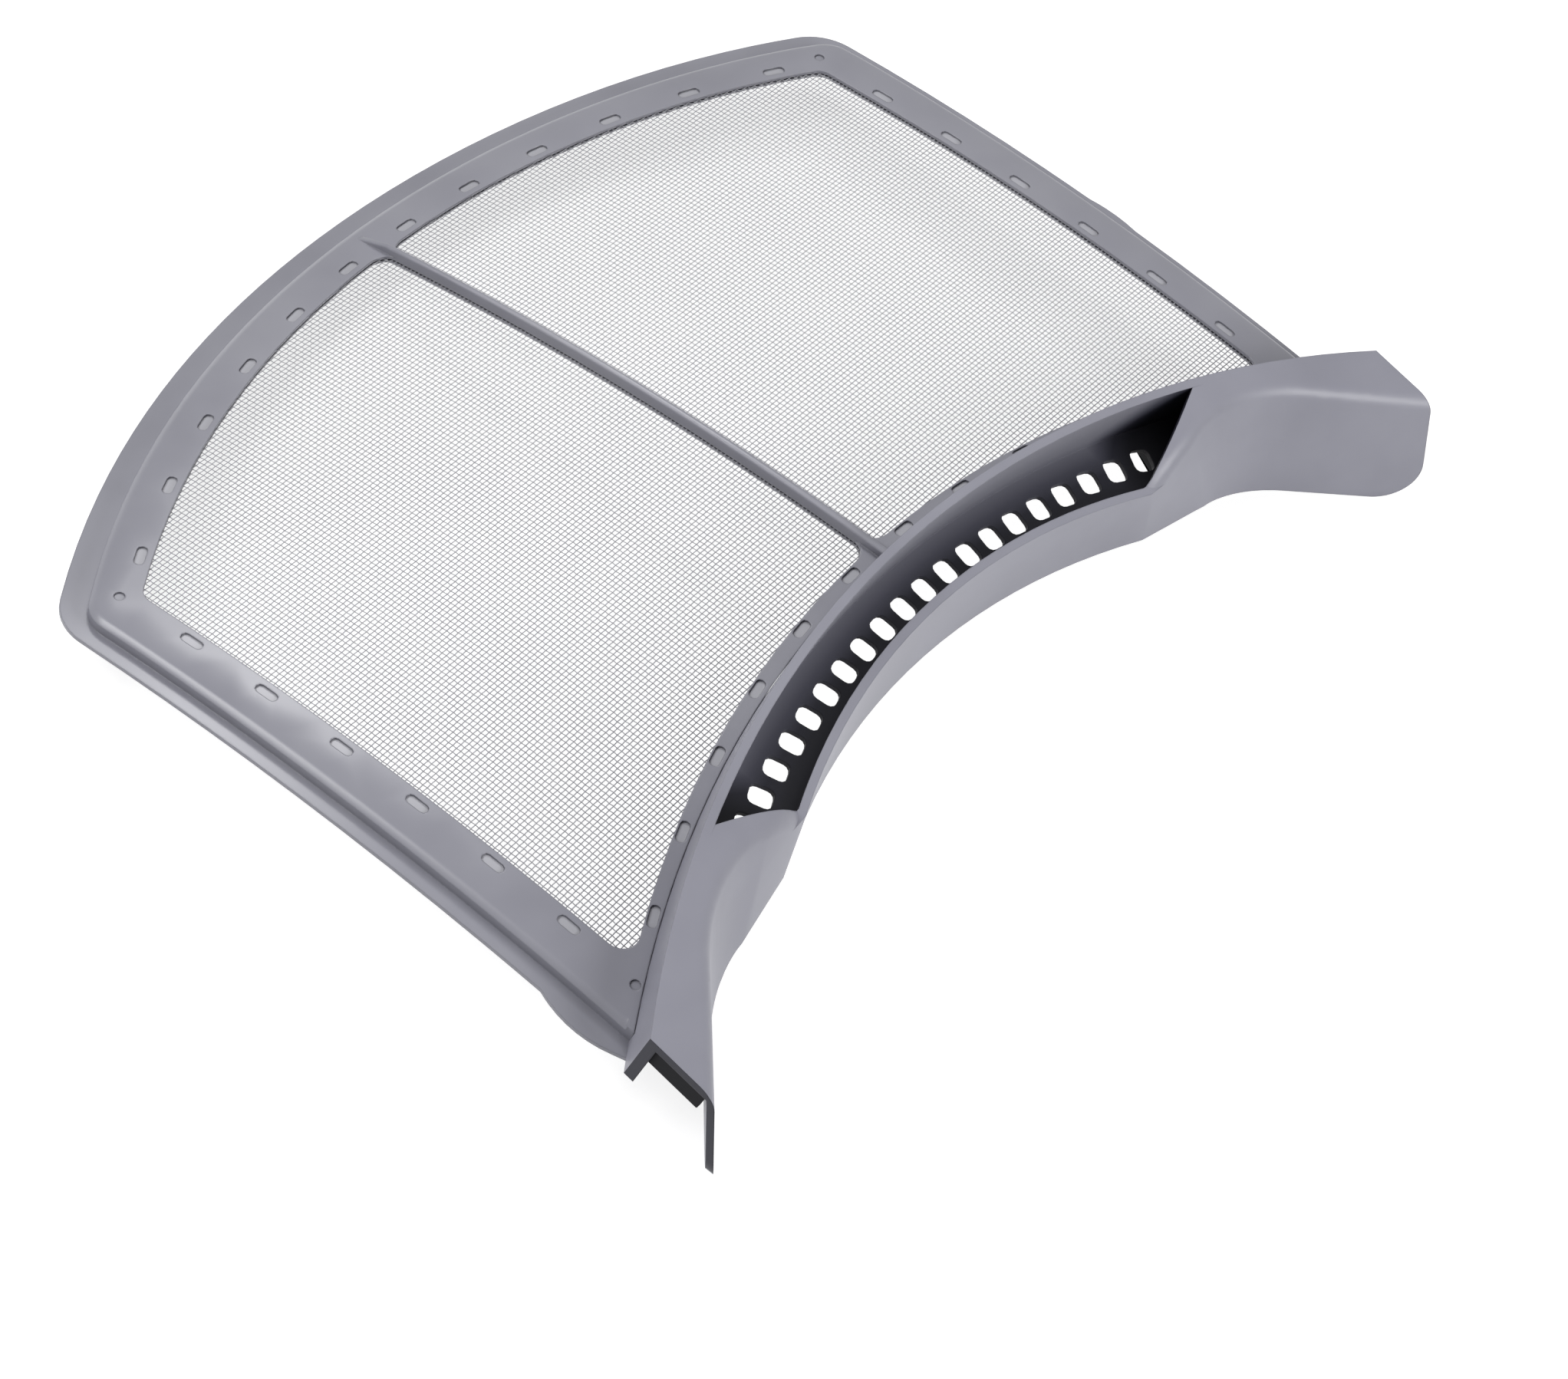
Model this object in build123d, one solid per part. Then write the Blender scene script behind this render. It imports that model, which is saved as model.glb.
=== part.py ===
from build123d import *
import os
from math import asin, atan, cos, degrees, radians, sin, sqrt

# Tumble dryer lint filter, lying as it rests: on the two handle tips and the middle of the far edge.
# Millimetres. X runs across the filter, Y from the handle to the far edge, Z up from the floor.

# Screen sheet, the arched surface that the border, the rib and the mesh all follow
sheet_half_width = 180.0
sheet_near_y = -40.0
sheet_far_y = 250.0
sheet_near_height = 30.9
sheet_far_height = 7.3
sheet_bow = 13.6
sheet_near_arch = 14.5
sheet_far_lift = 4.6

# Frame outline and border
frame_half_width = 169.9
frame_far_y = 238.1
frame_far_radius = 310.0
frame_corner_radius = 16.0
flange_side_width = 5.0
flange_far_width = 7.5
flange_drop = 4.4
flange_thickness = 1.2
flange_near_gap = 3.4
flange_near_radius = 6.0
plate_thickness = 2.4
plate_corner_radius = 10.0
shoulder_chamfer = 1.5
shoulder_ease = 0.7

# Lobes on the flange that let the filter into its slot one way round: a long one left, a low one right
left_lobe_y = 13.0
left_lobe_half_length = 12.0
left_lobe_height = 2.2
right_lobe_y = 81.0
right_lobe_half_length = 8.5
right_lobe_height = 0.8

# Windows and the rib between them
window_half_width = 150.6
window_far_y = 217.6
window_far_radius = 291.0
window_near_y = 49.7
window_near_radius = 319.0
window_corner_radius = 5.0
rib_near_width = 4.8
rib_far_width = 3.4
rib_height = 3.2
rib_edge_radius = 1.4
rib_edge_steps = 3
rib_tip_length = 9.0
rib_tip_height = 0.2
rib_tip_edge_radius = 0.5

# Blind slots and dimples in the border
slot_length = 6.8
slot_width = 2.8
slot_corner_radius = 1.2
slot_corner_steps = 2
slot_depth = 0.6
slots_per_half_row = 6
slot_inset = 3.2
near_slot_inset = 1.9
side_slot_pitch = 25.05
far_slot_pitch = 25.4
near_slot_pitch = 24.8
side_slot_start = 30.6
dimple_diameter = 3.0
dimple_sides = 12
dimple_depth = 0.5
dimple_inset = 4.0

# Mesh cloth, held in a groove round the windows
mesh_thickness = 0.5
mesh_drop = 1.0
mesh_grip = 3.0
mesh_columns = 5
mesh_rows = 7
mesh_bar = 1.6

# Handle, built on its own tilted plane through the crest of the back wall
handle_width = 345.0
handle_tilt = 10.8
handle_wall = 2.6
crest_y = 42.6
crest_height = 46.9
crest_radius = 315.0
back_wall_depth = 19.0
rim_depth = 9.0
rim_thickness = 2.0
handle_clearance = 0.15

# Front face of the handle: an upright arc in the middle, then a kink, a hip and a raked end each side
face_arc_y = 25.6
face_arc_radius = 211.0
face_top_level = 40.0
kink_foot_x = 87.4
kink_top_x = 80.0
hip_foot_x = 127.1
hip_foot_y = -1.8
hip_top_x = 122.9
hip_top_y = 13.4
hip_radius = 60.0
end_foot_rake = 0.795
end_top_rake = 0.8246
face_bend_radius = 5.5
lip_drop = 11.2
lip_half_width = 82.5
ramp_top_half_width = 116.0
lip_bottom = 7.8
lip_bottom_half_width = 112.0
lip_bottom_blend = 60.0
tip_round_drop = 2.0
tip_corner_radius = 11.0

# Finger trough with its grille floor
trough_half_width = 118.0
opening_back_half_width = 112.5
opening_front_inset = 11.0
trough_floor_depth = 16.0
trough_floor_thickness = 1.6
grille_holes_per_half = 10
grille_pitch = 9.85
grille_row_inset = 10.2
grille_row_radius = 311.0
grille_fan_radius = 190.0
grille_hole_width = 6.5
grille_hole_length = 7.2
grille_hole_corner = 2.0
grille_corner_steps = 3
end_web_inset = 6.0
end_web_depth = 10.0
end_web_thickness = 2.0
under_rib_half_width = 102.0
under_rib_depth = 33.0

# Room that every cutting prism takes beyond the part, and how near counts as the same place
reach = 40.0
closeness = 0.01


def arc_y(apex, radius, x):
    return apex - radius + sqrt(radius * radius - x * x)


def sheet_height(x, y):
    s = (y - sheet_near_y) / (sheet_far_y - sheet_near_y)
    middle = sheet_near_height * (1 - s) + sheet_far_height * s + 4 * sheet_bow * s * (1 - s)
    edge = sheet_far_lift * s - sheet_near_arch * (1 - s)
    return middle + edge * (x / sheet_half_width) ** 2


def on_sheet(point):
    return abs(point.Z - sheet_height(point.X, point.Y)) < closeness


def sheet_face(drop):
    # Control net of the two-way curved patch: three rows along Y, three points across each
    rows = []
    for s, bow in ((0, 0), (0.5, 2 * sheet_bow), (1, 0)):
        y = sheet_near_y * (1 - s) + sheet_far_y * s
        middle = sheet_near_height * (1 - s) + sheet_far_height * s + bow - drop
        edge = sheet_far_lift * s - sheet_near_arch * (1 - s)
        left = (-sheet_half_width, y, middle + edge)
        right = (sheet_half_width, y, middle + edge)
        rows.append([left, (0, y, middle - edge), right])
    return Face.make_bezier_surface(rows)


def sheet_slab(top_drop, bottom_drop):
    return extrude(sheet_face(bottom_drop), amount=bottom_drop - top_drop, dir=(0, 0, 1))


def upright(plan):
    return extrude(Pos(0, 0, -reach) * plan, amount=crest_height + 2 * reach, dir=(0, 0, 1))


def arched_plan(half_width, far_apex, far_radius, near_apex, near_radius):
    far_side = arc_y(far_apex, far_radius, half_width)
    near_side = arc_y(near_apex, near_radius, half_width)
    far_edge = ThreePointArc((-half_width, far_side), (0, far_apex), (half_width, far_side))
    near_edge = ThreePointArc((half_width, near_side), (0, near_apex), (-half_width, near_side))
    right = Line((half_width, far_side), (half_width, near_side))
    left = Line((-half_width, near_side), (-half_width, far_side))
    return make_face([far_edge, right, near_edge, left])


def far_vertices(plan):
    return plan.vertices().sort_by(Axis.Y)[-2:]


def near_vertices(plan):
    return plan.vertices().sort_by(Axis.Y)[:2]


def soft_rectangle(length, width, corner, steps):
    # Small opening with its round corners turned in steps, so that the many copies stay light
    points = []
    for quarter, (right, up) in enumerate(((1, 1), (-1, 1), (-1, -1), (1, -1))):
        for step in range(steps + 1):
            angle = radians(90 * (quarter + step / steps))
            x = right * (length / 2 - corner) + corner * cos(angle)
            y = up * (width / 2 - corner) + corner * sin(angle)
            points.append((x, y))
    return make_face(Polyline(*points, close=True))


# Plane of the handle: its XY is the plane of the crest and of the top plates
lean = radians(handle_tilt)
handle_plane = Plane(origin=(0, crest_y, crest_height), x_dir=(1, 0, 0), z_dir=(0, -sin(lean), cos(lean)))


def on_handle(shape):
    return handle_plane.location * shape


def crest_cylinder(growth):
    # Everything on the handle's side of the back wall's outer face, grown by the given amount
    height = 2 * (crest_height + reach)
    return on_handle(Pos(0, -crest_radius, 0) * Cylinder(crest_radius + growth, height))


def border_outline(side_inset, far_inset, corner_radius):
    plan = arched_plan(
        frame_half_width - side_inset,
        frame_far_y - far_inset,
        frame_far_radius - far_inset,
        crest_y - reach / 4,
        crest_radius,
    )
    return fillet(far_vertices(plan), corner_radius)


def lobe(x_edge, y, half_length, height):
    # Disc that shows past the straight edge as a shallow lobe
    radius = (half_length * half_length + height * height) / (2 * height)
    side = 1 if x_edge > 0 else -1
    return Pos(x_edge + side * (height - radius), y) * Circle(radius)


def flange_plan():
    plan = arched_plan(
        frame_half_width,
        frame_far_y,
        frame_far_radius,
        crest_y + flange_near_gap,
        crest_radius,
    )
    plan = fillet(far_vertices(plan), frame_corner_radius)
    plan = fillet(near_vertices(plan), flange_near_radius)
    left = lobe(-frame_half_width, left_lobe_y, left_lobe_half_length, left_lobe_height)
    right = lobe(frame_half_width, right_lobe_y, right_lobe_half_length, right_lobe_height)
    return plan + left + right


def window_plan(growth):
    return arched_plan(
        window_half_width + growth,
        window_far_y + growth,
        window_far_radius + growth,
        window_near_y - growth,
        window_near_radius - growth,
    )


def rib_half_width(y):
    s = (y - window_near_y) / (window_far_y - window_near_y)
    return (rib_near_width * (1 - s) + rib_far_width * s) / 2


def windows():
    far = window_far_y + rib_tip_length
    strip = make_face(
        Polyline(
            (-rib_half_width(far), far),
            (rib_half_width(far), far),
            (rib_half_width(crest_y), crest_y),
            (-rib_half_width(crest_y), crest_y),
            close=True,
        )
    )
    openings = window_plan(0) - strip
    return fillet(openings.vertices(), window_corner_radius)


def rib_section(y, half_width, height, edge_radius):
    # Upright section across the rib at a place along it, with stepped round top edges
    crown = []
    for step in range(rib_edge_steps + 1):
        angle = radians(90 * step / rib_edge_steps)
        x = half_width - edge_radius * (1 - cos(angle))
        crown.append((x, height - edge_radius * (1 - sin(angle))))
    mirrored = [(-x, z) for x, z in reversed(crown)]
    outline = [(-half_width, -mesh_drop), (half_width, -mesh_drop), *crown, *mirrored]
    plane = Plane(origin=(0, y, sheet_height(0, y)), x_dir=(1, 0, 0), z_dir=(0, -1, 0))
    return plane * make_face(Polyline(*outline, close=True))


def rib():
    near = crest_y
    far = window_far_y
    tip = window_far_y + rib_tip_length
    stations = (near, (near + far) / 2, far)
    sections = [rib_section(y, rib_half_width(y), rib_height, rib_edge_radius) for y in stations]
    end = rib_section(tip, rib_half_width(tip), rib_tip_height, rib_tip_edge_radius)
    return loft(sections) + loft([sections[-1], end], ruled=True)


def slot_places():
    places = []
    for k in range(slots_per_half_row):
        side_y = side_slot_start + k * side_slot_pitch
        far_x = (k + 0.5) * far_slot_pitch
        near_x = (k + 0.5) * near_slot_pitch
        far_radius = window_far_radius + slot_inset
        near_radius = window_near_radius - near_slot_inset
        for side in (-1, 1):
            places.append((side * (window_half_width + slot_inset), side_y, 90))
            far_y = arc_y(window_far_y + slot_inset, far_radius, far_x)
            places.append((side * far_x, far_y, -side * degrees(asin(far_x / far_radius))))
            near_y = arc_y(window_near_y - near_slot_inset, near_radius, near_x)
            places.append((side * near_x, near_y, -side * degrees(asin(near_x / near_radius))))
    return places


def dimple_places():
    x = window_half_width + dimple_inset
    far = arc_y(window_far_y, window_far_radius, window_half_width) + dimple_inset
    near = arc_y(window_near_y, window_near_radius, window_half_width) - dimple_inset
    return [(side * x, y) for side in (-1, 1) for y in (far, near)]


def make_frame():
    skirt = flange_drop + flange_thickness
    plate_plan = border_outline(flange_side_width, flange_far_width, plate_corner_radius)
    under_plan = border_outline(
        flange_side_width + plate_thickness,
        flange_far_width + plate_thickness,
        plate_corner_radius - plate_thickness,
    )

    # Raised border: a block with a shoulder eased in two steps, hollowed from below
    border = sheet_slab(0, skirt) & upright(plate_plan)
    for step in (shoulder_chamfer, shoulder_ease):
        border = chamfer([e for e in border.edges() if on_sheet(e @ 0.5)], step)
    border -= sheet_slab(plate_thickness, skirt + reach) & upright(under_plan)

    flange = sheet_slab(flange_drop, skirt) & upright(flange_plan() - under_plan)
    rim_ring = crest_cylinder(handle_clearance + rim_thickness)
    rim = sheet_slab(0, rim_depth) & upright(plate_plan) & rim_ring
    body = border + flange + rim
    body -= upright(windows())
    body += rib()

    slot = soft_rectangle(slot_length, slot_width, slot_corner_radius, slot_corner_steps)
    slots = Sketch() + [Pos(x, y) * Rot(0, 0, turn) * slot for x, y, turn in slot_places()]
    body -= sheet_slab(-slot_depth, slot_depth) & upright(slots)
    dimple = RegularPolygon(dimple_diameter / 2, dimple_sides)
    dimples = Sketch() + [Pos(x, y) * dimple for x, y in dimple_places()]
    body -= sheet_slab(-dimple_depth, dimple_depth) & upright(dimples)

    body -= mesh_blank()
    return body - crest_cylinder(handle_clearance)


def mesh_blank():
    return sheet_slab(mesh_drop, mesh_drop + mesh_thickness) & upright(window_plan(mesh_grip))


def mesh_gaps():
    # Bars run straight along the filter, and the cross bars bend with the windows
    half_rib = rib_near_width / 2
    column = (window_half_width - half_rib) / mesh_columns
    margin = mesh_bar / 2

    def at(x, share):
        near = arc_y(window_near_y, window_near_radius, x)
        far = arc_y(window_far_y, window_far_radius, x)
        return near * (1 - share) + far * share

    gaps = []
    for i in range(mesh_columns):
        x_in = half_rib + i * column + margin
        x_out = half_rib + (i + 1) * column - margin
        for j in range(mesh_rows):
            low = j / mesh_rows
            high = (j + 1) / mesh_rows
            for side in (-1, 1):
                corners = (
                    (side * x_in, at(x_in, low) + margin),
                    (side * x_out, at(x_out, low) + margin),
                    (side * x_out, at(x_out, high) - margin),
                    (side * x_in, at(x_in, high) - margin),
                )
                gaps.append(make_face(Polyline(*corners, close=True)))
    return gaps


def make_mesh():
    openings = Sketch() + mesh_gaps()
    return mesh_blank() - upright(openings)


def between(foot, top, level):
    return foot + (top - foot) * level / face_top_level


def face_plan(level):
    # Front line of the handle at a height, closed round the back
    kink_x = between(kink_foot_x, kink_top_x, level)
    kink_y = arc_y(face_arc_y, face_arc_radius, kink_x)
    hip = (between(hip_foot_x, hip_top_x, level), between(hip_foot_y, hip_top_y, level))
    end_x = handle_width / 2 + handle_wall
    end = (end_x, hip[1] - between(end_foot_rake, end_top_rake, level) * (end_x - hip[0]))
    back_y = crest_y + reach
    right = Polyline((kink_x, kink_y), hip, end, (end[0], back_y))
    back = Line((end[0], back_y), (-end[0], back_y))
    left = Polyline((-end[0], back_y), (-end[0], end[1]), (-hip[0], hip[1]), (-kink_x, kink_y))
    front = ThreePointArc((-kink_x, kink_y), (0, face_arc_y), (kink_x, kink_y))
    plan = make_face([front, right, back, left])
    hips = [v for v in plan.vertices() if abs(abs(v.X) - hip[0]) < closeness]
    return Pos(0, 0, level) * fillet(hips, hip_radius)


def behind_face(setback):
    low = face_plan(-reach / 4)
    high = face_plan(crest_height + reach / 4)
    return Pos(0, setback, 0) * loft([low, high], ruled=True)


def top_profile(lowered):
    # Front view of the handle's top, on the handle plane: level ends, a ramp each side, the lip between
    end_x = handle_width / 2
    deep = -2 * reach
    lip = -lip_drop - lowered
    ramp = Spline((lip_half_width, lip), (ramp_top_half_width, -lowered), tangents=((1, 1), (1, 0)))
    half = make_face(
        [
            Line((0, deep), (0, lip)),
            Line((0, lip), (lip_half_width, lip)),
            ramp,
            Line((ramp_top_half_width, -lowered), (end_x, -lowered)),
            Line((end_x, -lowered), (end_x, deep)),
            Line((end_x, deep), (0, deep)),
        ]
    )
    profile = half + mirror(half, Plane.YZ)
    return on_handle(extrude(Plane.XZ * profile, amount=4 * reach, both=True))


def bottom_profile():
    # Front view of the handle's lower edge: level under the lip, falling to a rounded tip at each end
    end_x = handle_width / 2
    high = crest_height + reach
    outline = Polyline(
        (-end_x, -tip_round_drop),
        (-lip_bottom_half_width, lip_bottom),
        (lip_bottom_half_width, lip_bottom),
        (end_x, -tip_round_drop),
        (end_x, high),
        (-end_x, high),
        close=True,
    )
    profile = make_face(outline)
    tips = [v for v in profile.vertices() if v.Y < 0]
    profile = fillet(tips, tip_corner_radius)
    bends = [v for v in profile.vertices() if abs(abs(v.X) - lip_bottom_half_width) < closeness]
    profile = fillet(bends, lip_bottom_blend)
    return extrude(Plane.XZ * profile, amount=6 * reach, both=True)


def local(point):
    return handle_plane.to_local_coords(point)


def front_edges(solid):
    # Edges where the top plates and ramps turn down into the front face
    ahead = behind_face(handle_wall / 2)
    found = []
    for edge in solid.edges():
        middle = edge @ 0.5
        above_lip = local(middle).Z > -lip_drop + handle_wall / 4
        upright_edge = abs((edge % 0.5).Z) > 0.9
        if above_lip and not upright_edge and not ahead.is_inside(middle):
            found.append(edge)
    return found


def grille_holes():
    holes = []
    hole = soft_rectangle(grille_hole_width, grille_hole_length, grille_hole_corner, grille_corner_steps)
    for k in range(grille_holes_per_half):
        x = (k + 0.5) * grille_pitch
        y = arc_y(-handle_wall - grille_row_inset, grille_row_radius, x)
        turn = degrees(x / grille_fan_radius)
        for side in (-1, 1):
            holes.append(Pos(side * x, y) * Rot(0, 0, -side * turn) * hole)
    return holes


def handle_box(x_low, x_high, z_low, z_high):
    size = (x_high - x_low, 8 * reach, z_high - z_low)
    return on_handle(Pos((x_low + x_high) / 2, 0, (z_low + z_high) / 2) * Box(*size))


def make_handle():
    inside = behind_face(handle_wall)
    wall_inner = crest_cylinder(-handle_wall)
    wall_outer = crest_cylinder(0)
    half_width = handle_width / 2
    floor_bottom = -trough_floor_depth - trough_floor_thickness

    # Outer form, with the soft bend from the top plates into the front face, then hollowed from below
    block = behind_face(0) & wall_outer & top_profile(0)
    block = fillet(front_edges(block), face_bend_radius)
    shell = block & bottom_profile()
    shell -= inside & wall_inner & top_profile(handle_wall)
    shell -= inside & handle_box(-2 * half_width, 2 * half_width, -4 * reach, -back_wall_depth)
    shell += handle_box(-half_width, half_width, -back_wall_depth, 0) & (wall_outer - wall_inner)

    # Finger opening through the top plates, wider at the back wall than at the lip
    opening_front = arc_y(0, crest_radius, opening_back_half_width) - handle_wall - opening_front_inset
    opening_back = arc_y(0, crest_radius, opening_back_half_width) - handle_wall
    opening = make_face(
        Polyline(
            (-opening_back_half_width, 0),
            (opening_back_half_width, 0),
            (opening_back_half_width, opening_back),
            (lip_half_width, opening_front),
            (lip_half_width, -2 * reach),
            (-lip_half_width, -2 * reach),
            (-lip_half_width, opening_front),
            (-opening_back_half_width, opening_back),
            close=True,
        )
    )
    shaft = on_handle(extrude(Pos(0, 0, -trough_floor_depth) * opening, amount=trough_floor_depth + reach))
    shell -= shaft & inside & wall_inner

    # Grille floor, closed at both ends and ribbed below, and a web under the plate near each open end
    within = behind_face(handle_wall / 2) & crest_cylinder(-handle_wall / 2)
    floor = handle_box(-trough_half_width, trough_half_width, floor_bottom, -trough_floor_depth)
    holes = Sketch() + grille_holes()
    floor -= on_handle(extrude(Pos(0, 0, -trough_floor_depth) * holes, amount=reach, both=True))
    webs = []
    under_plate = -handle_wall / 2
    for side in (-1, 1):
        trough_end = (side * (trough_half_width - end_web_thickness / 2), floor_bottom, under_plate)
        open_end = (side * (half_width - end_web_inset), -end_web_depth, under_plate)
        under_rib = (side * under_rib_half_width, -under_rib_depth, floor_bottom)
        for x, low, high in (trough_end, open_end, under_rib):
            webs.append(handle_box(x - end_web_thickness / 2, x + end_web_thickness / 2, low, high))
    shell += within & (floor + webs)
    return shell


def settle(shapes):
    # Lower the far edge until the part lies on it and on both handle tips, then centre it on the floor
    far_bottom = sheet_height(0, frame_far_y) - flange_drop - flange_thickness
    tip_y = hip_foot_y - end_foot_rake * (handle_width / 2 - tip_corner_radius - hip_foot_x)
    turn = Rot(-degrees(atan(far_bottom / (frame_far_y - tip_y))), 0, 0)
    box = Compound([turn * shape for shape in shapes]).bounding_box()
    return Pos(0, -(box.min.Y + box.max.Y) / 2, -box.min.Z) * turn


os.makedirs("parts", exist_ok=True)
nodes = {"screen_frame": make_frame(), "filter_mesh": make_mesh(), "handle": make_handle()}
place = settle(nodes.values())
for name, shape in nodes.items():
    export_step(place * shape, f"parts/{name}.step")
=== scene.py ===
import bpy
import bmesh
from math import radians, sqrt
from mathutils import Euler, Matrix, Vector
from mathutils.bvhtree import BVHTree


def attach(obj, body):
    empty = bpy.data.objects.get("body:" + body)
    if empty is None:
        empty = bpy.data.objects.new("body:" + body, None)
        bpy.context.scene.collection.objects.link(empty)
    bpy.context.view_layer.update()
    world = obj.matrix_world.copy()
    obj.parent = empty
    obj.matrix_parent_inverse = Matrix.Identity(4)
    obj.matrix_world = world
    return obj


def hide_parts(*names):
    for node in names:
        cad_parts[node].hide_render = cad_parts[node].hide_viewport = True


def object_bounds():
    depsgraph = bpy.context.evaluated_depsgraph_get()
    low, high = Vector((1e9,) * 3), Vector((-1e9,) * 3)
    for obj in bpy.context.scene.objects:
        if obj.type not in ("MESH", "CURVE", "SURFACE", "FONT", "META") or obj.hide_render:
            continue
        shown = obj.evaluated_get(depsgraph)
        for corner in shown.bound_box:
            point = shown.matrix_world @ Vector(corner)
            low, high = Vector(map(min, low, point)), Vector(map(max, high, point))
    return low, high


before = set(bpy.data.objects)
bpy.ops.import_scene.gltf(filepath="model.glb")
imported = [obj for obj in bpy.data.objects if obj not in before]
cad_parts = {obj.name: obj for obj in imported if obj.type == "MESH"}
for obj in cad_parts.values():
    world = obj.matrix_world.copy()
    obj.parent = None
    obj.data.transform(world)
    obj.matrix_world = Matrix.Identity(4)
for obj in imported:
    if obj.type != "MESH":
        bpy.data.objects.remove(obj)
cadLow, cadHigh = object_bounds()
print("frame loaded:", sorted(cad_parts))

mm = 0.001

# The part was turned a little to lie on the floor, and moved to its middle
rest = {"turn": radians(1.0309), "y": -101.375 * mm, "z": -0.403 * mm}
settle = Matrix.Translation((0, rest["y"], rest["z"])) @ Matrix.Rotation(-rest["turn"], 4, "X")

# The handle stands on a tilted plane through the crest of its back wall
crest = {
    "y": 42.6 * mm,
    "height": 46.9 * mm,
    "radius": 315.0 * mm,
    "tilt": radians(10.8),
    "wall": 2.6 * mm,
}
crestPlace = Matrix.Translation((0, crest["y"], crest["height"]))
handlePlane = settle @ crestPlace @ Matrix.Rotation(crest["tilt"], 4, "X")


def linear(hexColour):
    # sRGB hex to the linear colour that the sockets take
    parts = [int(hexColour[i:i + 2], 16) / 255 for i in (1, 3, 5)]
    return [p / 12.92 if p <= 0.04045 else ((p + 0.055) / 1.055) ** 2.4 for p in parts] + [1.0]


def addNode(tree, kind, settings=None, inputs=None):
    # one node: settings are its own properties, inputs are socket values or the sockets that feed them
    node = tree.nodes.new(kind)
    for key, value in (settings or {}).items():
        setattr(node, key, value)
    for key, value in (inputs or {}).items():
        if isinstance(value, bpy.types.NodeSocket):
            tree.links.new(value, node.inputs[key])
        else:
            node.inputs[key].default_value = value
    return node


def newMaterial(name):
    material = bpy.data.materials.new(name)
    material.use_nodes = True
    material.node_tree.nodes.clear()
    return material, material.node_tree


def setRamp(ramp, stops):
    # stops are (place, hex colour)
    elements = ramp.color_ramp.elements
    while len(elements) > len(stops):
        elements.remove(elements[-1])
    while len(elements) < len(stops):
        elements.new(1.0)
    for element, (place, colour) in zip(elements, stops):
        element.position = place
        element.color = linear(colour)


def meshObject(bm, name, materials):
    mesh = bpy.data.meshes.new(name)
    bm.to_mesh(mesh)
    bm.free()
    for material in materials:
        mesh.materials.append(material)
    obj = bpy.data.objects.new(name, mesh)
    bpy.context.scene.collection.objects.link(obj)
    return obj


# Moulded ABS: eroded tool steel leaves a fine satin grain, and the colour clouds a little along the flow
moulding = {
    "looks": {
        "frameMouldedAbs": {
            "cloud": ["#868690", "#8d8d97", "#94949d"],
            "deep": "#3a3a42",
            "roughness": (0.27, 0.35),
            "specular": 0.5,
        },
        "handleMouldedAbs": {
            "cloud": ["#8a8a95", "#90909b", "#9696a1"],
            "deep": "#2a2a32",
            "roughness": (0.38, 0.46),
            "specular": 0.5,
        },
        "slotPaintedHighlightAbs": {  # painted highlight: the slots' floors are given a lighter colour than the frame
            "cloud": ["#a4a4ab", "#ababb2", "#b2b2b9"],
            "deep": "#55555d",
            "roughness": (0.32, 0.40),
            "specular": 0.5,
        },
        "endPaintedShadeAbs": {  # painted shade: the open ends' faces are given a dull, darker colour
            "cloud": ["#34343d", "#383841", "#3d3d46"],
            "deep": "#1c1c23",
            "roughness": (0.46, 0.56),
            "specular": 0.25,
        },
        "webPaintedShadeAbs": {  # painted shade: the webs in the open ends are given a near-black colour
            "cloud": ["#0e0e13", "#101016", "#131319"],
            "deep": "#08080b",
            "roughness": (0.52, 0.62),
            "specular": 0.12,
        },
    },
    "cloudSize": 45 * mm,
    "cloudDetail": 3.0,
    "cloudRough": 0.55,
    "cloudPlaces": (0.30, 0.50, 0.72),
    "hollowReach": 9 * mm,
    "hollowRange": (0.08, 0.75),  # how open a spot is where it counts as shut, and as free
    "grain": 0.7 * mm,  # real grain is about 0.05 mm, drawn coarser so that it shows
    "grainDepth": 0.012 * mm,
    "grainStrength": 0.35,
    "edge": 0.55 * mm,  # the moulded edges are a little round
    "ior": 1.53,
}


def grainNormal(tree, place):
    # eroded grain over edges that are a little round
    grain = addNode(
        tree,
        "ShaderNodeTexNoise",
        None,
        {"Vector": place, "Scale": 1 / moulding["grain"], "Detail": 2.0, "Roughness": 0.6},
    )
    edge = addNode(tree, "ShaderNodeBevel", {"samples": 4}, {"Radius": moulding["edge"]})
    bump = addNode(
        tree,
        "ShaderNodeBump",
        None,
        {
            "Height": grain.outputs["Fac"],
            "Strength": moulding["grainStrength"],
            "Distance": moulding["grainDepth"],
            "Normal": edge.outputs["Normal"],
        },
    )
    return bump.outputs["Normal"]


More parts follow.
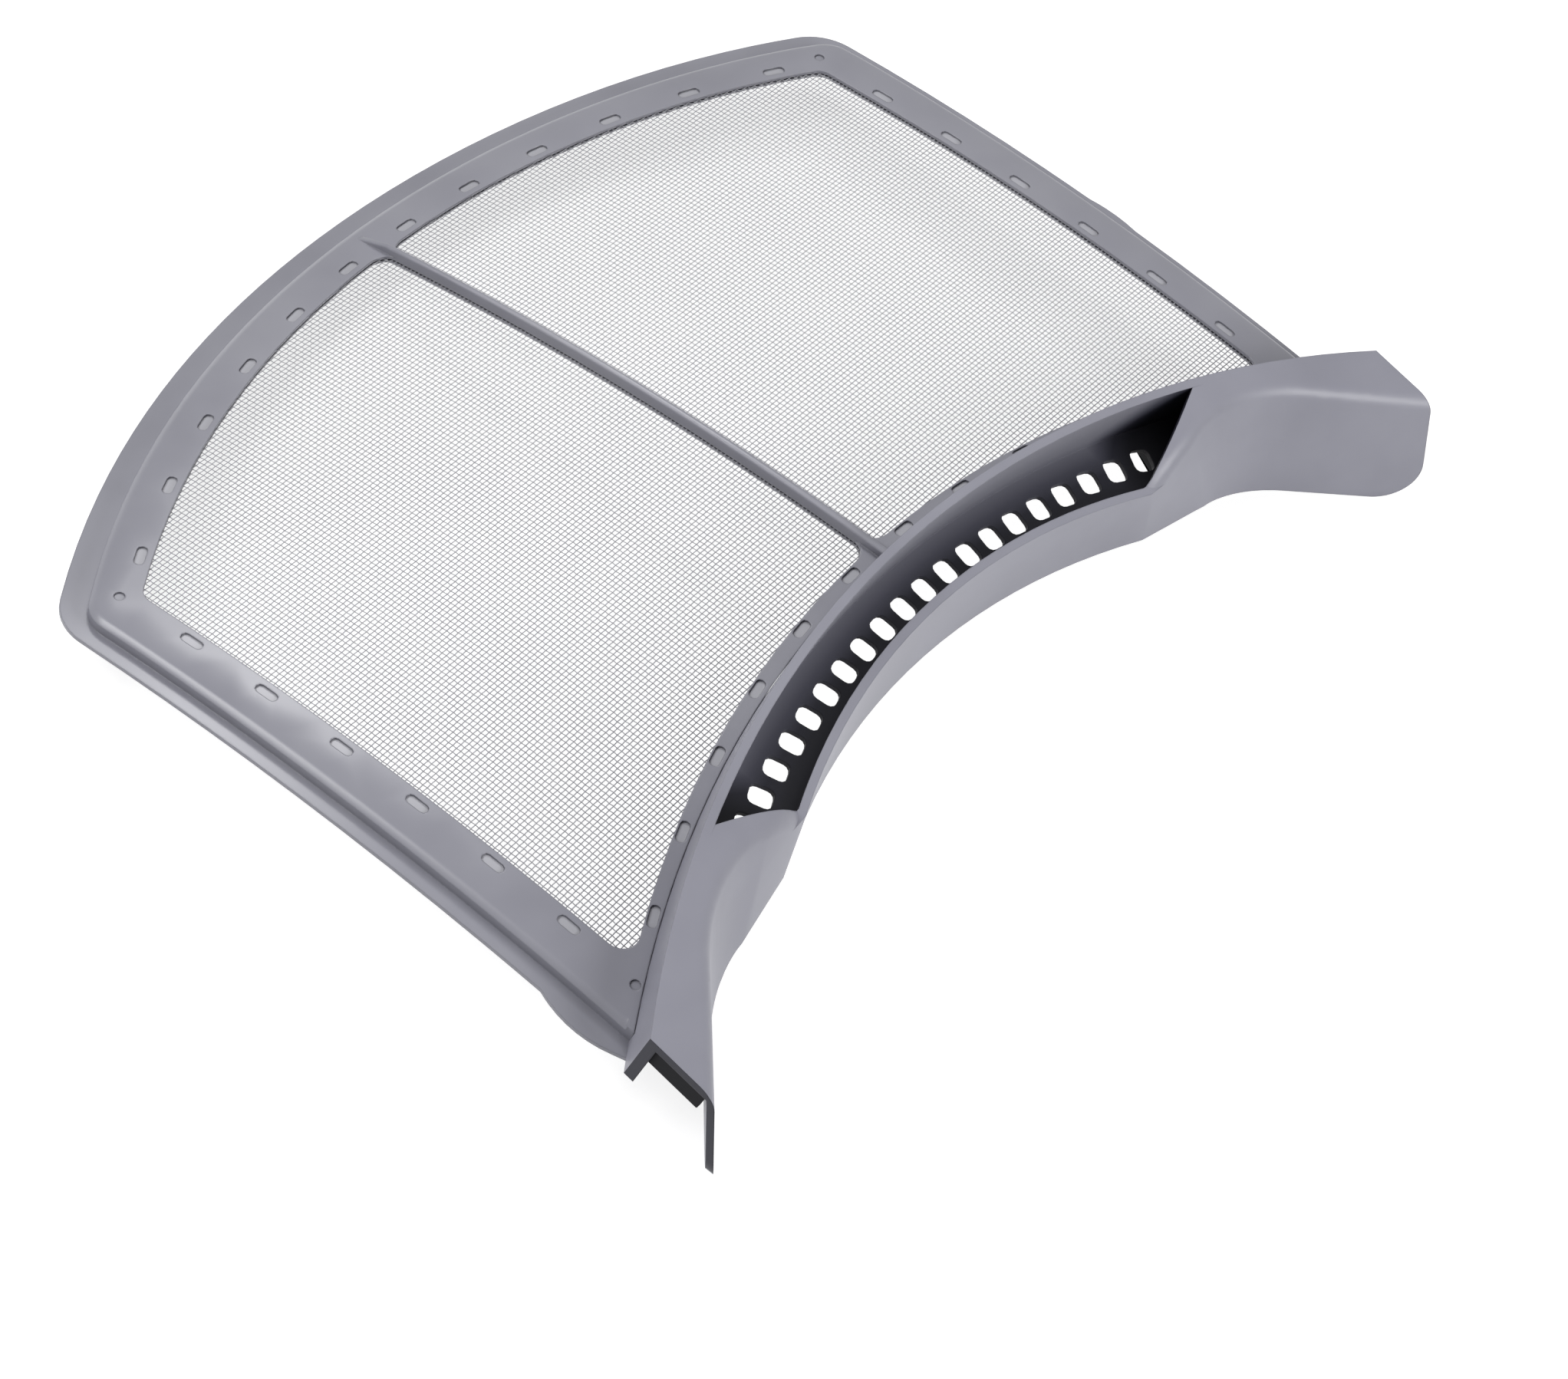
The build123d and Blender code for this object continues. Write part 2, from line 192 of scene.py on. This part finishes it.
def mouldedAbs(name):
    look = moulding["looks"][name]
    material, tree = newMaterial(name)
    place = addNode(tree, "ShaderNodeTexCoord").outputs["Object"]
    cloud = addNode(
        tree,
        "ShaderNodeTexNoise",
        {"noise_dimensions": "3D"},
        {
            "Vector": place,
            "Scale": 1 / moulding["cloudSize"],
            "Detail": moulding["cloudDetail"],
            "Roughness": moulding["cloudRough"],
        },
    )
    tint = addNode(tree, "ShaderNodeValToRGB", None, {"Fac": cloud.outputs["Fac"]})
    setRamp(tint, list(zip(moulding["cloudPlaces"], look["cloud"])))
    # hollows stay dark, as light hardly gets into them
    hollow = addNode(
        tree, "ShaderNodeAmbientOcclusion", {"samples": 8}, {"Distance": moulding["hollowReach"]}
    )
    openness = addNode(
        tree,
        "ShaderNodeMapRange",
        {"interpolation_type": "SMOOTHSTEP"},
        {
            "Value": hollow.outputs["AO"],
            "From Min": moulding["hollowRange"][0],
            "From Max": moulding["hollowRange"][1],
        },
    )
    colour = addNode(
        tree,
        "ShaderNodeMix",
        {"data_type": "RGBA"},
        {"Factor": openness.outputs["Result"], "A": linear(look["deep"]), "B": tint.outputs["Color"]},
    )
    sheen = addNode(
        tree,
        "ShaderNodeMapRange",
        None,
        {"Value": cloud.outputs["Fac"], "To Min": look["roughness"][0], "To Max": look["roughness"][1]},
    )
    surface = addNode(
        tree,
        "ShaderNodeBsdfPrincipled",
        None,
        {
            "Base Color": colour.outputs[2],
            "Roughness": sheen.outputs["Result"],
            "IOR": moulding["ior"],
            "Specular IOR Level": look["specular"],
            "Normal": grainNormal(tree, place),
        },
    )
    addNode(tree, "ShaderNodeOutputMaterial", None, {"Surface": surface.outputs["BSDF"]})
    return material


# Inside the handle the same ABS is dull, with painted shade that darkens it down the back wall and out
# over the floor
trough = {
    "stops": [  # painted shade, deepening along the way down the back wall and out over the floor
        (0.00, "#85858e"),
        (0.30, "#81818b"),
        (0.41, "#6e6e78"),
        (0.52, "#4a4a55"),
        (0.64, "#1f1f29"),
        (1.00, "#0c0c12"),
    ],
    "way": 40.0 * mm,
    "endFrom": 82.0 * mm,  # painted shadow: the ends are darker
    "endWay": 0.85,
    "dustPatch": 14 * mm,
    "roughness": (0.50, 0.66),
    "specular": 0.25,
}


def troughPaintedShadeAbs():
    material, tree = newMaterial("troughPaintedShadeAbs")
    place = addNode(tree, "ShaderNodeTexCoord").outputs["Object"]
    level = addNode(
        tree,
        "ShaderNodeMapping",
        {"vector_type": "TEXTURE"},
        {
            "Vector": place,
            "Location": handlePlane.translation,
            "Rotation": handlePlane.to_euler(),
        },
    )
    part = addNode(tree, "ShaderNodeSeparateXYZ", None, {"Vector": level.outputs["Vector"]})
    flat = addNode(
        tree,
        "ShaderNodeVectorMath",
        {"operation": "MULTIPLY_ADD"},
        {0: level.outputs["Vector"], 1: (1, 1, 0), 2: (0, crest["radius"], 0)},
    )
    ring = addNode(tree, "ShaderNodeVectorMath", {"operation": "LENGTH"}, {0: flat.outputs[0]})
    inward = addNode(
        tree,
        "ShaderNodeMath",
        {"operation": "SUBTRACT"},
        {0: crest["radius"] - crest["wall"], 1: ring.outputs["Value"]},
    )
    down = addNode(
        tree, "ShaderNodeMath", {"operation": "SUBTRACT"}, {0: inward.outputs[0], 1: part.outputs["Z"]}
    )
    side = addNode(tree, "ShaderNodeMath", {"operation": "ABSOLUTE"}, {0: part.outputs["X"]})
    end = addNode(
        tree,
        "ShaderNodeMapRange",
        None,
        {
            "Value": side.outputs[0],
            "From Min": trough["endFrom"],
            "From Max": trough["endFrom"] + trough["way"],
            "To Max": trough["way"] * trough["endWay"],
        },
    )
    way = addNode(
        tree, "ShaderNodeMath", {"operation": "ADD"}, {0: down.outputs[0], 1: end.outputs["Result"]}
    )
    depth = addNode(
        tree,
        "ShaderNodeMapRange",
        None,
        {"Value": way.outputs[0], "From Min": 0.0, "From Max": trough["way"]},
    )
    dust = addNode(
        tree,
        "ShaderNodeTexNoise",
        None,
        {"Vector": place, "Scale": 1 / trough["dustPatch"], "Detail": 4.0},
    )
    shade = addNode(tree, "ShaderNodeValToRGB", None, {"Fac": depth.outputs["Result"]})
    setRamp(shade, trough["stops"])
    sheen = addNode(
        tree,
        "ShaderNodeMapRange",
        None,
        {"Value": dust.outputs["Fac"], "To Min": trough["roughness"][0], "To Max": trough["roughness"][1]},
    )
    surface = addNode(
        tree,
        "ShaderNodeBsdfPrincipled",
        None,
        {
            "Base Color": shade.outputs["Color"],
            "Roughness": sheen.outputs["Result"],
            "IOR": moulding["ior"],
            "Specular IOR Level": trough["specular"],
            "Normal": grainNormal(tree, place),
        },
    )
    addNode(tree, "ShaderNodeOutputMaterial", None, {"Surface": surface.outputs["BSDF"]})
    return material


# Polyester monofilament: smooth drawn thread, pale and even, so it is bright along its rounds
threads = {
    "colour": ["#a0a0a6", "#a8a8ad"],
    "colourPlaces": (0.35, 0.65),
    "patch": 30 * mm,
    "roughness": 0.38,
    "ior": 1.58,
}


def drawnPolyester():
    material, tree = newMaterial("drawnPolyesterThread")
    place = addNode(tree, "ShaderNodeTexCoord").outputs["Object"]
    patch = addNode(
        tree, "ShaderNodeTexNoise", None, {"Vector": place, "Scale": 1 / threads["patch"], "Detail": 2.0}
    )
    tint = addNode(tree, "ShaderNodeValToRGB", None, {"Fac": patch.outputs["Fac"]})
    setRamp(tint, list(zip(threads["colourPlaces"], threads["colour"])))
    surface = addNode(
        tree,
        "ShaderNodeBsdfPrincipled",
        None,
        {"Base Color": tint.outputs["Color"], "Roughness": threads["roughness"], "IOR": threads["ior"]},
    )
    addNode(tree, "ShaderNodeOutputMaterial", None, {"Surface": surface.outputs["BSDF"]})
    return material


frameAbs = mouldedAbs("frameMouldedAbs")
slotHighlightAbs = mouldedAbs("slotPaintedHighlightAbs")
handleAbs = mouldedAbs("handleMouldedAbs")
endShadeAbs = mouldedAbs("endPaintedShadeAbs")
webShadeAbs = mouldedAbs("webPaintedShadeAbs")
troughShadeAbs = troughPaintedShadeAbs()
thread = drawnPolyester()
print("plastics made")

# The arched sheet that the border, the rib and the cloth all follow
arch = {
    "halfWidth": 180.0 * mm,
    "nearY": -40.0 * mm,
    "farY": 250.0 * mm,
    "nearHeight": 30.9 * mm,
    "farHeight": 7.3 * mm,
    "bow": 13.6 * mm,
    "nearArch": 14.5 * mm,
    "farLift": 4.6 * mm,
}


def archHeight(x, y):
    s = (y - arch["nearY"]) / (arch["farY"] - arch["nearY"])
    middle = arch["nearHeight"] * (1 - s) + arch["farHeight"] * s + 4 * arch["bow"] * s * (1 - s)
    edge = arch["farLift"] * s - arch["nearArch"] * (1 - s)
    return middle + edge * (x / arch["halfWidth"]) ** 2


# Copies of the solids: loose triangles are welded, and edges that turn more than this stay crisp
copyDetail = {"weld": 0.002 * mm, "crisp": radians(25)}


def mergedCopy(node):
    bm = bmesh.new()
    bm.from_mesh(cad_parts[node].data)
    bmesh.ops.remove_doubles(bm, verts=bm.verts[:], dist=copyDetail["weld"])
    bm.normal_update()
    return bm


def finishCopy(bm, name, node, materials):
    for f in bm.faces:
        f.smooth = True
    for e in bm.edges:
        e.smooth = e.is_manifold and e.calc_face_angle() < copyDetail["crisp"]
    obj = meshObject(bm, name, materials)
    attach(obj, "root")
    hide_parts(node)
    faces = obj.data.polygons
    print(name, "faces", len(faces), "in other finishes", sum(f.material_index > 0 for f in faces))


# Frame: the slots' floors get a lighter colour as a painted highlight, the flange's ends close up to the
# handle, the rib is slim
frameDetail = {
    "slotDepth": 0.6 * mm,
    "slotSlack": 0.06 * mm,
    "flangeDepth": (4.2 * mm, 5.8 * mm),
    "flangeGap": 3.4 * mm,  # from the crest's line to the flange's end, give or take the reach
    "flangeReach": 1.6 * mm,
    "closeUp": 0.9 * mm,
    "ribHalf": 2.42 * mm,
    "ribSlack": 0.1 * mm,
    "ribSlim": 0.56,  # share of the solid's width
    "ribLow": 0.78,  # share of the solid's height
    "ribReach": 6.0 * mm,  # the corners beside the rib follow it
    "ribFar": 227.0 * mm,
}


def slimRib(v, place, depth):
    half, reach = frameDetail["ribHalf"], frameDetail["ribReach"]
    wide = abs(place.x)
    if wide > reach or place.y > frameDetail["ribFar"]:
        return
    slim = half * frameDetail["ribSlim"]
    if wide < half:
        target = wide * frameDetail["ribSlim"]
    else:
        target = slim + (wide - half) * (reach - slim) / (reach - half)
    v.co.x = target if place.x > 0 else -target
    if depth < 0 and wide < half + frameDetail["ribSlack"]:
        v.co.z += depth * (1 - frameDetail["ribLow"])


def frameBody():
    bm = mergedCopy("screen_frame")
    lift = settle.inverted()
    low, high = frameDetail["flangeDepth"]
    depth = {}
    for v in bm.verts:
        place = lift @ v.co
        depth[v.index] = archHeight(place.x, place.y) - place.z
        nearArc = crest["y"] - crest["radius"] + sqrt(max(crest["radius"] ** 2 - place.x ** 2, 0))
        atEnd = abs(place.y - nearArc - frameDetail["flangeGap"]) < frameDetail["flangeReach"]
        if atEnd and low < depth[v.index] < high:
            v.co.y -= frameDetail["closeUp"]
        slimRib(v, place, depth[v.index])
    for f in bm.faces:
        offFloor = max(abs(depth[v.index] - frameDetail["slotDepth"]) for v in f.verts)
        # slot floors take the lighter colour: painted highlight
        f.material_index = 1 if offFloor < frameDetail["slotSlack"] else 0
    finishCopy(bm, "frameBody", "screen_frame", [frameAbs, slotHighlightAbs])


frameBody()

# Handle: painted shade inside the trough and on the faces at the open ends, shorter ribs below
handleDetail = {
    "endFrom": 168 * mm,
    "sideways": 0.9,  # how far a face looks along the handle to count as an end or a rib's side
    "troughEnd": 128 * mm,
    "wallSlack": 0.1 * mm,
    "inwards": -0.3,  # the back wall's inner face looks forward
    "offFace": 0.05 * mm,
    "wallReach": 90 * mm,
    "floor": -17.7 * mm,  # heights from the crest's plane
    "ribs": (99 * mm, 105 * mm),
    "ribDeep": -32 * mm,  # what is deeper is cut to a line from the lip's edge up to the back wall's
    "ribFront": -30.6 * mm,
    "ribBack": -20.5 * mm,
    "ribMiddle": -32 * mm,  # in front of this a rib's point goes with the lip
}


def inTroughShade(face, tree, toPlane):
    # the back wall's inner face, and whatever stands between the front face and the back wall, which take
    # the painted trough shade
    middle = toPlane @ face.calc_center_median()
    if abs(middle.x) > handleDetail["troughEnd"]:
        return False
    normal = toPlane.to_3x3() @ face.normal
    ring = sqrt(middle.x ** 2 + (middle.y + crest["radius"]) ** 2)
    offWall = abs(ring - crest["radius"] + crest["wall"])
    if offWall < handleDetail["wallSlack"] and normal.y < handleDetail["inwards"]:
        return True
    start = face.calc_center_median() + face.normal * handleDetail["offFace"]
    across = handlePlane.to_3x3() @ Vector((0, 1, 0))
    reach = handleDetail["wallReach"]
    return tree.ray_cast(start, across, reach)[0] and tree.ray_cast(start, -across, reach)[0]


def underFloor(face, toPlane):
    # the ribs below the grille, which show through its end holes and take the painted trough shade
    place = toPlane @ face.calc_center_median()
    low, high = handleDetail["ribs"]
    onRib = low < abs(place.x) < high and place.z < handleDetail["floor"]
    return onRib and abs(face.normal.x) > handleDetail["sideways"]


def shortenRibs(bm, toPlane):
    low, high = handleDetail["ribs"]
    for v in bm.verts:
        place = toPlane @ v.co
        if low < abs(place.x) < high and place.z < handleDetail["ribDeep"]:
            atBack = place.y > handleDetail["ribMiddle"]
            place.z = handleDetail["ribBack"] if atBack else handleDetail["ribFront"]
            v.co = handlePlane @ place
    bm.normal_update()


def handleBody():
    bm = mergedCopy("handle")
    toPlane = handlePlane.inverted()
    shortenRibs(bm, toPlane)
    tree = BVHTree.FromBMesh(bm)
    # faces in the trough and on the ribs below it take the painted trough shade
    for f in bm.faces:
        middle = f.calc_center_median()
        # faces at the open ends take the darker colour: painted shade
        if abs(middle.x) > handleDetail["endFrom"] and abs(f.normal.x) > handleDetail["sideways"]:
            f.material_index = 2
        elif inTroughShade(f, tree, toPlane) or underFloor(f, toPlane):
            f.material_index = 1
    finishCopy(bm, "handleBody", "handle", [handleAbs, troughShadeAbs, endShadeAbs])


handleBody()

# Web that closes each open end of the handle, just inside the rim
endWeb = {
    "outside": 171.4 * mm,
    "thickness": 2.0 * mm,
    "top": -2.0 * mm,
    "bottom": -9.8 * mm,
    "back": -52.6 * mm,  # from the back wall forward to the front face
    "front": -70.8 * mm,
    "edge": 0.3 * mm,
}


def handleWeb(name, side):
    bm = bmesh.new()
    box = bmesh.ops.create_cube(bm, size=1.0)["verts"]
    size = (endWeb["thickness"], endWeb["back"] - endWeb["front"], endWeb["top"] - endWeb["bottom"])
    bmesh.ops.scale(bm, verts=box, vec=size)
    middle = (
        side * (endWeb["outside"] - endWeb["thickness"] / 2),
        (endWeb["back"] + endWeb["front"]) / 2,
        (endWeb["top"] + endWeb["bottom"]) / 2,
    )
    bmesh.ops.translate(bm, verts=box, vec=middle)
    bmesh.ops.bevel(
        bm,
        geom=bm.edges[:],
        offset=endWeb["edge"],
        segments=2,
        profile=0.5,
        affect="EDGES",
        material=-1,
    )
    bmesh.ops.transform(bm, matrix=handlePlane, verts=bm.verts[:])
    # the web's near-black colour is painted shade
    obj = meshObject(bm, name, [webShadeAbs])
    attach(obj, "root")


handleWeb("rightEndWeb", 1)
handleWeb("leftEndWeb", -1)
print("handle dressed")

# Filter cloth: plain weave of monofilament, stretched over the arched frame, its edges inside the border
cloth = {
    "pitchAcross": 1.65 * mm,  # between the threads that run to the far edge
    "pitchAlong": 1.33 * mm,
    "threadRadius": 0.16 * mm,
    "wave": 0.11 * mm,
    "sides": 4,
    "tuck": 1.6 * mm,  # how far the cloth runs on inside the border
    "spare": 4,  # crossings woven past the window and cut off again
    "halfWidth": 150.6 * mm,
    "farY": 217.6 * mm,
    "farRadius": 291.0 * mm,
    "nearY": 49.7 * mm,
    "nearRadius": 319.0 * mm,
    "depth": 1.0 * mm,  # middle of the cloth under the frame's top
}


def inWindow(x, y):
    far = cloth["farRadius"] + cloth["tuck"]
    near = cloth["nearRadius"] - cloth["tuck"]
    farEdge = cloth["farY"] + cloth["tuck"] - far + sqrt(far * far - x * x)
    nearEdge = cloth["nearY"] - cloth["tuck"] - near + sqrt(near * near - x * x)
    return abs(x) <= cloth["halfWidth"] + cloth["tuck"] and nearEdge <= y <= farEdge


def weaveThreads(bm, count, steps, along):
    # two threads in opposite wave are extruded crossing by crossing, then copied side by side
    across = Vector((cloth["pitchAcross"], 0, 0))
    forward = Vector((0, cloth["pitchAlong"], 0))
    step, beside = (across, forward) if along == "x" else (forward, across)
    first = -1 if along == "x" else 1  # one set starts low where the other starts high
    turned = Euler((0, radians(90), 0)) if along == "x" else Euler((radians(-90), 0, 0))
    for pair in (0, 1):
        ring = bmesh.ops.create_circle(bm, segments=cloth["sides"], radius=cloth["threadRadius"])["verts"]
        bmesh.ops.rotate(bm, verts=ring, cent=(0, 0, 0), matrix=turned.to_matrix())
        lift = first * (1 if pair == 0 else -1) * cloth["wave"]
        bmesh.ops.translate(bm, verts=ring, vec=beside * pair + Vector((0, 0, lift)))
        edges = list(dict.fromkeys(e for v in ring for e in v.link_edges))  # each edge once
        for crossing in range(steps):
            grown = bmesh.ops.extrude_edge_only(bm, edges=edges)["geom"]
            tips = [g for g in grown if isinstance(g, bmesh.types.BMVert)]
            edges = [g for g in grown if isinstance(g, bmesh.types.BMEdge)]
            lift = -lift
            bmesh.ops.translate(bm, verts=tips, vec=step + Vector((0, 0, 2 * lift)))
    pairGeometry = bm.verts[:] + bm.edges[:] + bm.faces[:]
    for k in range(1, count // 2):
        twins = bmesh.ops.duplicate(bm, geom=pairGeometry)["geom"]
        moved = [g for g in twins if isinstance(g, bmesh.types.BMVert)]
        bmesh.ops.translate(bm, verts=moved, vec=beside * 2 * k)


def clothHalf(name, side):
    pitch = cloth["pitchAlong"]
    wide = cloth["pitchAcross"]
    spare = cloth["spare"]
    near = cloth["nearRadius"]
    sideEdge = cloth["nearY"] - near + sqrt(near ** 2 - cloth["halfWidth"] ** 2)
    low = sideEdge - spare * pitch
    across = 2 * int((cloth["halfWidth"] + spare * wide) / wide / 2)
    along = 2 * int((cloth["farY"] + spare * pitch - low) / pitch / 2)
    bm = bmesh.new()
    for direction, count, steps in (("y", across, along), ("x", along, across)):
        threadSet = bmesh.new()
        weaveThreads(threadSet, count, steps, direction)
        part = bpy.data.meshes.new("threadSet")
        threadSet.to_mesh(part)
        threadSet.free()
        bm.from_mesh(part)
        bpy.data.meshes.remove(part)
    bmesh.ops.translate(bm, verts=bm.verts[:], vec=(wide / 2, low, 0))
    bmesh.ops.delete(bm, geom=[v for v in bm.verts if not inWindow(v.co.x, v.co.y)], context="VERTS")
    if side < 0:
        bmesh.ops.scale(bm, verts=bm.verts[:], vec=(-1, 1, 1))
    for v in bm.verts:
        v.co.z += archHeight(v.co.x, v.co.y) - cloth["depth"]
    bmesh.ops.transform(bm, matrix=settle, verts=bm.verts[:])
    bmesh.ops.recalc_face_normals(bm, faces=bm.faces[:])
    for f in bm.faces:
        f.smooth = True
    obj = meshObject(bm, name, [thread])
    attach(obj, "root")
    print(name, "faces", len(obj.data.polygons))
    return obj


rightCloth = clothHalf("rightFilterCloth", 1)
leftCloth = clothHalf("leftFilterCloth", -1)
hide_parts("filter_mesh")
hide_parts("filter_mesh")
print("cloth woven")

# Floor: white paper sweep under soft studio light
studio = {
    "floorSize": 6.0,
    "floorDrop": 0.02 * mm,
    "floorColour": "#f2f2f2",
    "floorRough": 0.6,
    "floorGlow": 0.84,  # the camera sees a lit white sweep that keeps a soft share of the shadow
    "shadowColour": "#aaaaaa",
    "white": "#ffffff",
    "worldStrength": 0.05,
    "lamps": [
        # name, place, size, watts
        ("frontSoftbox", (0.0, -1.47, 0.85), 0.9, 17.5),
        ("backLeftSoftbox", (-0.85, 0.85, 1.20), 0.9, 17.0),
        ("backRightSoftbox", (0.745, 0.799, 1.302), 0.4, 7.0),
    ],
}


def whiteToCamera(tree):
    # 1 for camera, mirror and clear rays, which see the plain white background
    path = addNode(tree, "ShaderNodeLightPath")
    first = addNode(
        tree,
        "ShaderNodeMath",
        {"operation": "MAXIMUM"},
        {0: path.outputs["Is Camera Ray"], 1: path.outputs["Is Glossy Ray"]},
    )
    both = addNode(
        tree,
        "ShaderNodeMath",
        {"operation": "MAXIMUM"},
        {0: first.outputs[0], 1: path.outputs["Is Transmission Ray"]},
    )
    return both.outputs[0]


def paperFloor():
    material, tree = newMaterial("paperFloor")
    seen = whiteToCamera(tree)
    paper = addNode(
        tree,
        "ShaderNodeBsdfDiffuse",
        None,
        {"Color": linear(studio["floorColour"]), "Roughness": studio["floorRough"]},
    )
    white = addNode(
        tree,
        "ShaderNodeEmission",
        None,
        {"Color": linear(studio["white"]), "Strength": studio["floorGlow"]},
    )
    shadow = addNode(tree, "ShaderNodeBsdfDiffuse", None, {"Color": linear(studio["shadowColour"])})
    sweep = addNode(tree, "ShaderNodeAddShader", None, {0: white.outputs[0], 1: shadow.outputs[0]})
    mixed = addNode(
        tree, "ShaderNodeMixShader", None, {0: seen, 1: paper.outputs[0], 2: sweep.outputs[0]}
    )
    addNode(tree, "ShaderNodeOutputMaterial", None, {"Surface": mixed.outputs[0]})
    bm = bmesh.new()
    bmesh.ops.create_grid(bm, x_segments=1, y_segments=1, size=studio["floorSize"] / 2)
    floor = meshObject(bm, "floor", [material])
    floor.location.z = cadLow.z - studio["floorDrop"]


def studioLight():
    world = bpy.data.worlds.new("studio")
    bpy.context.scene.world = world
    world.use_nodes = True
    tree = world.node_tree
    tree.nodes.clear()
    seen = whiteToCamera(tree)
    strength = addNode(
        tree,
        "ShaderNodeMapRange",
        None,
        {"Value": seen, "To Min": studio["worldStrength"], "To Max": 1.0},
    )
    sky = addNode(
        tree,
        "ShaderNodeBackground",
        None,
        {"Color": linear(studio["white"]), "Strength": strength.outputs["Result"]},
    )
    addNode(tree, "ShaderNodeOutputWorld", None, {"Surface": sky.outputs[0]})
    for name, place, size, watts in studio["lamps"]:
        lamp = bpy.data.lights.new(name, "AREA")
        lamp.shape = "DISK"
        lamp.size = size
        lamp.energy = watts
        obj = bpy.data.objects.new(name, lamp)
        obj.location = place
        obj.rotation_mode = "QUATERNION"
        obj.rotation_quaternion = (-Vector(place)).to_track_quat("-Z", "Y")
        bpy.context.scene.collection.objects.link(obj)


paperFloor()
studioLight()

# Camera: at the photograph's place, found from the outline and its lens
shot = {
    "place": (-0.82943, -0.35739, 0.98491),
    "turn": (38.9659, -13.7899, -52.7909),
    "lens": 110.96,
    "sensor": 36,
}
camera = bpy.data.cameras.new("photoCamera")
camera.sensor_width = shot["sensor"]
camera.lens = shot["lens"]
cameraObject = bpy.data.objects.new("photoCamera", camera)
cameraObject.location = shot["place"]
cameraObject.rotation_euler = Euler([radians(t) for t in shot["turn"]])
bpy.context.scene.collection.objects.link(cameraObject)
bpy.context.scene.camera = cameraObject
bpy.context.scene.view_settings.view_transform = "Standard"
print("light, floor and camera set")
